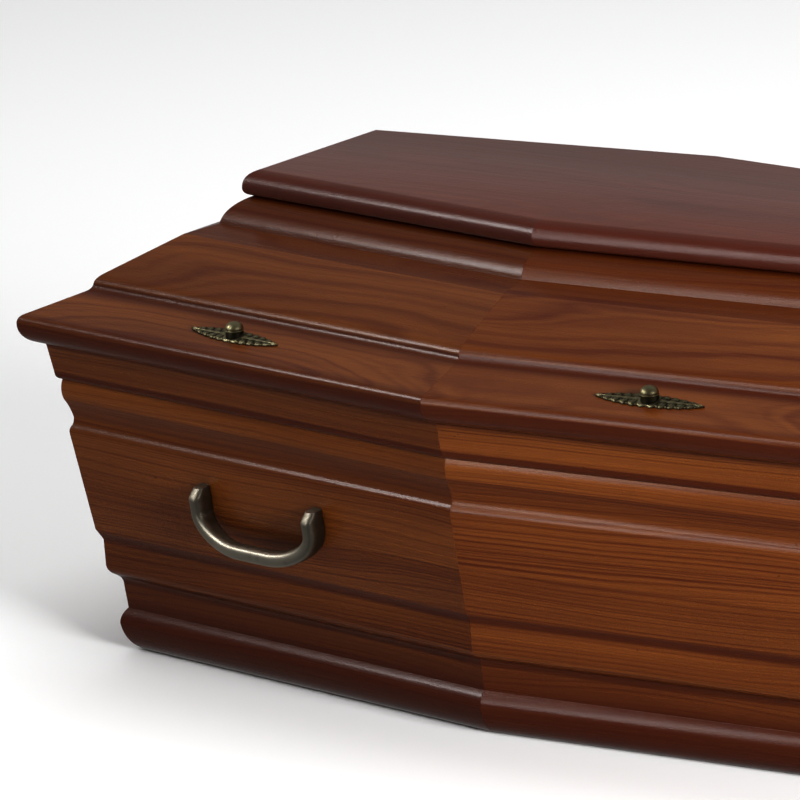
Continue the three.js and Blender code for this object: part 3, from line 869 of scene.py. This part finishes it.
SIDE_WOOD = wood(
    "stained side boards",
    pale=colour(0.205, 0.064, 0.0108),
    dark=colour(0.08, 0.0155, 0.0026),
    across=UPWARD,
    glue_shift=WALL_GLUE_SHIFT,
    roughness=0.29,
    gloss=0.27,
)
LID_WOOD = wood(
    "stained lid boards",
    pale=colour(0.195, 0.062, 0.0104),
    dark=colour(0.082, 0.0163, 0.0027),
    across=OUTWARD,
    glue_shift=LID_GLUE_SHIFT,
    roughness=0.29,
    gloss=0.27,
)
TOP_WOOD = wood(
    "stained top board",
    pale=colour(0.142, 0.033, 0.014),
    dark=colour(0.1, 0.02, 0.009),
    across=OUTWARD,
    glue_shift=LID_GLUE_SHIFT,
    roughness=0.32,
    gloss=0.42,
)
BASE_WOOD = bare_wood("oiled base board")
HANDLE_BRASS = brass(
    "antiqued brass of the handles",
    tarnish=colour(0.2, 0.175, 0.13),
    worn_dark=colour(0.5, 0.455, 0.37),
    worn_pale=colour(0.72, 0.66, 0.54),
)
SCREW_BRASS = brass(
    "antiqued brass of the screws",
    tarnish=colour(0.045, 0.038, 0.022),
    worn_dark=colour(0.3, 0.265, 0.15),
    worn_pale=colour(0.46, 0.41, 0.25),
)


def add_handle(side, number, from_shoulder):
    name = f"handle_{side.name}{number}"
    piece = handle_mesh(f"{name}_cast")
    reach = RIDGE_REACH - HANDLE_BELOW_RIDGE * PANEL_LEAN
    settle(piece, face_matrix(side, from_shoulder, reach, RIDGE_HEIGHT - HANDLE_BELOW_RIDGE, PANEL_LEAN, 1))
    place(piece, name, "antique_brass", HANDLE_BRASS)


def add_screw(side, number, from_shoulder):
    reach = FLANGE_TOP_REACH + SCREW_FROM_FLANGE_TOP
    height = FLANGE_TOP_HEIGHT - SCREW_FROM_FLANGE_TOP * FLANGE[1] / FLANGE[0]
    sloped = face_matrix(side, from_shoulder, reach, height, -FLANGE[0], FLANGE[1])
    upright = face_matrix(side, from_shoulder, reach, height, 0, 1)
    for kind, build, matrix in (("plate", plate_mesh, sloped), ("knob", knob_mesh, upright)):
        name = f"screw_{kind}_{side.name}{number}"
        piece = build(f"{name}_cast")
        settle(piece, matrix)
        place(piece, name, "antique_brass", SCREW_BRASS)


for side in SIDES:
    # Painted shade on the friezes of the shoulder sides.
    frieze_painted_shade = SHOULDER_FRIEZE_PAINTED_SHADE if side.name.startswith("shoulder") else 0.0
    outline = wall_outline(frieze_painted_shade)
    wall = moulded_board(f"wall_{side.name}_moulded", side, outline, WALL_TIMBER + side.index)
    place(wall, f"wall_{side.name}", "side_wood", SIDE_WOOD)
    outline = lid_outline()
    lid_board = moulded_board(f"lid_board_{side.name}_moulded", side, outline, LID_TIMBER + side.index)
    place(lid_board, f"lid_board_{side.name}", "lid_wood", LID_WOOD)
    if side.name.startswith("shoulder"):
        add_handle(side, "", SHOULDER_HANDLE)
        add_screw(side, "", SHOULDER_SCREW)
    if side.name.startswith("long"):
        for number, distance in enumerate(LONG_HANDLES, 1):
            add_handle(side, f"_{number}", distance)
        for number, distance in enumerate(LONG_SCREWS, 1):
            add_screw(side, f"_{number}", distance)

top_board = plan_board("lid_top_board_moulded", top_edge_outline(), TOP_TIMBER)
place(top_board, "lid_top_board", "top_wood", TOP_WOOD)

base_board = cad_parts["base_board"]
for index in range(len(base_board.material_slots)):
    base_board.material_slots[index].material = BASE_WOOD


def camera():
    yaw, pitch, roll = (math.radians(angle) for angle in (CAMERA_YAW, CAMERA_PITCH, CAMERA_ROLL))
    forward = Vector((math.sin(yaw) * math.cos(pitch), math.cos(yaw) * math.cos(pitch), -math.sin(pitch)))
    level = Vector((math.cos(yaw), -math.sin(yaw), 0))
    down = forward.cross(level)
    right = math.cos(roll) * level + math.sin(roll) * down
    up = math.sin(roll) * level - math.cos(roll) * down
    data = bpy.data.cameras.new("photo camera")
    data.lens = CAMERA_LENS
    data.sensor_width = CAMERA_SENSOR_WIDTH
    data.clip_end = CAMERA_REACH
    eye = bpy.data.objects.new("photo camera", data)
    turn = Matrix((right, up, -forward)).transposed().to_4x4()
    eye.matrix_world = Matrix.Translation(Vector(CAMERA_PLACE)) @ turn
    bpy.context.scene.collection.objects.link(eye)
    bpy.context.scene.camera = eye


def area_light(name, aim, azimuth, elevation, distance, size, power):
    """A soft box aimed at a point, seen from it at an azimuth from the front (-Y) to the right (+X)."""
    around, up = math.radians(azimuth), math.radians(elevation)
    towards = Vector((math.sin(around) * math.cos(up), -math.cos(around) * math.cos(up), math.sin(up)))
    data = bpy.data.lights.new(name, "AREA")
    data.shape = "RECTANGLE"
    data.size, data.size_y = size
    data.energy = power
    lamp = bpy.data.objects.new(name, data)
    lamp.location = Vector(aim) + towards * distance
    lamp.rotation_euler = towards.to_track_quat("Z", "Y").to_euler()
    bpy.context.scene.collection.objects.link(lamp)
    return lamp


def studio():
    half = FLOOR_HALF
    corners = [(-half, -half, 0), (half, -half, 0), (half, half, 0), (-half, half, 0)]
    mesh = bpy.data.meshes.new("floor")
    mesh.from_pydata(corners, [], [(0, 1, 2, 3)])
    floor = bpy.data.objects.new("floor", mesh)
    floor.location.z = -FLOOR_DROP
    bpy.context.scene.collection.objects.link(floor)
    n = Nodes("pale floor")
    n.into("Base Color", colour(0.94, 0.94, 0.94))
    n.into("Roughness", 0.9)
    n.into("Specular IOR Level", 0.1)
    mesh.materials.append(n.material)
    floor.visible_glossy = False
    soft_sky()
    # The floor and these three lights aren't mirrored, so that they don't veil the leaning boards.
    key = area_light(
        "key on the right",
        aim=(-0.3, 0, 0.25),
        azimuth=70,
        elevation=15,
        distance=5.0,
        size=(2.2, 1.4),
        power=600,
    )
    overhead = area_light(
        "overhead",
        aim=(-1.2, 1.6, 0),
        azimuth=0,
        elevation=90,
        distance=4.2,
        size=(5.0, 4.0),
        power=155,
    )
    fill = area_light(
        "fill on the left",
        aim=(-0.5, -0.3, 0.25),
        azimuth=-40,
        elevation=45,
        distance=3.5,
        size=(0.7, 0.7),
        power=14,
    )
    for lamp in (key, overhead, fill):
        lamp.visible_glossy = False
    # These three boxes are there only for the lacquer and the brass to mirror.
    glow = area_light(
        "glow on the right",
        aim=(-0.3, 0, 0.25),
        azimuth=74,
        elevation=15,
        distance=5.0,
        size=(2.2, 1.4),
        power=34,
    )
    left = area_light(
        "tall box on the left",
        aim=(-0.42, -0.33, 0.3),
        azimuth=-59,
        elevation=32,
        distance=2.3,
        size=(0.3, 0.85),
        power=15,
    )
    front = area_light(
        "tall box in front",
        aim=(0.1, -0.3, 0.3),
        azimuth=-35,
        elevation=20,
        distance=3.0,
        size=(0.34, 2.1),
        power=20,
    )
    for lamp in (glow, left, front):
        lamp.visible_diffuse = False


def soft_sky():
    """Even light from all round, stronger behind the coffin (+Y) than before it."""
    world = bpy.data.worlds.new("studio")
    world.use_nodes = True
    tree = world.node_tree
    towards = tree.nodes.new("ShaderNodeTexCoord").outputs["Generated"]
    split = tree.nodes.new("ShaderNodeSeparateXYZ")
    tree.links.new(towards, split.inputs[0])
    strength = tree.nodes.new("ShaderNodeMapRange")
    tree.links.new(split.outputs[1], strength.inputs["Value"])
    levels = {"From Min": -0.6, "From Max": 0.6, "To Min": 0.09, "To Max": 0.36}
    for name, value in levels.items():
        strength.inputs[name].default_value = value
    tree.links.new(strength.outputs[0], tree.nodes["Background"].inputs["Strength"])
    tree.nodes["Background"].inputs["Color"].default_value = (1, 1, 1, 1)
    bpy.context.scene.world = world


camera()
studio()
bpy.context.scene.view_settings.view_transform = "Standard"
bpy.context.scene.view_settings.gamma = VIEW_GAMMA
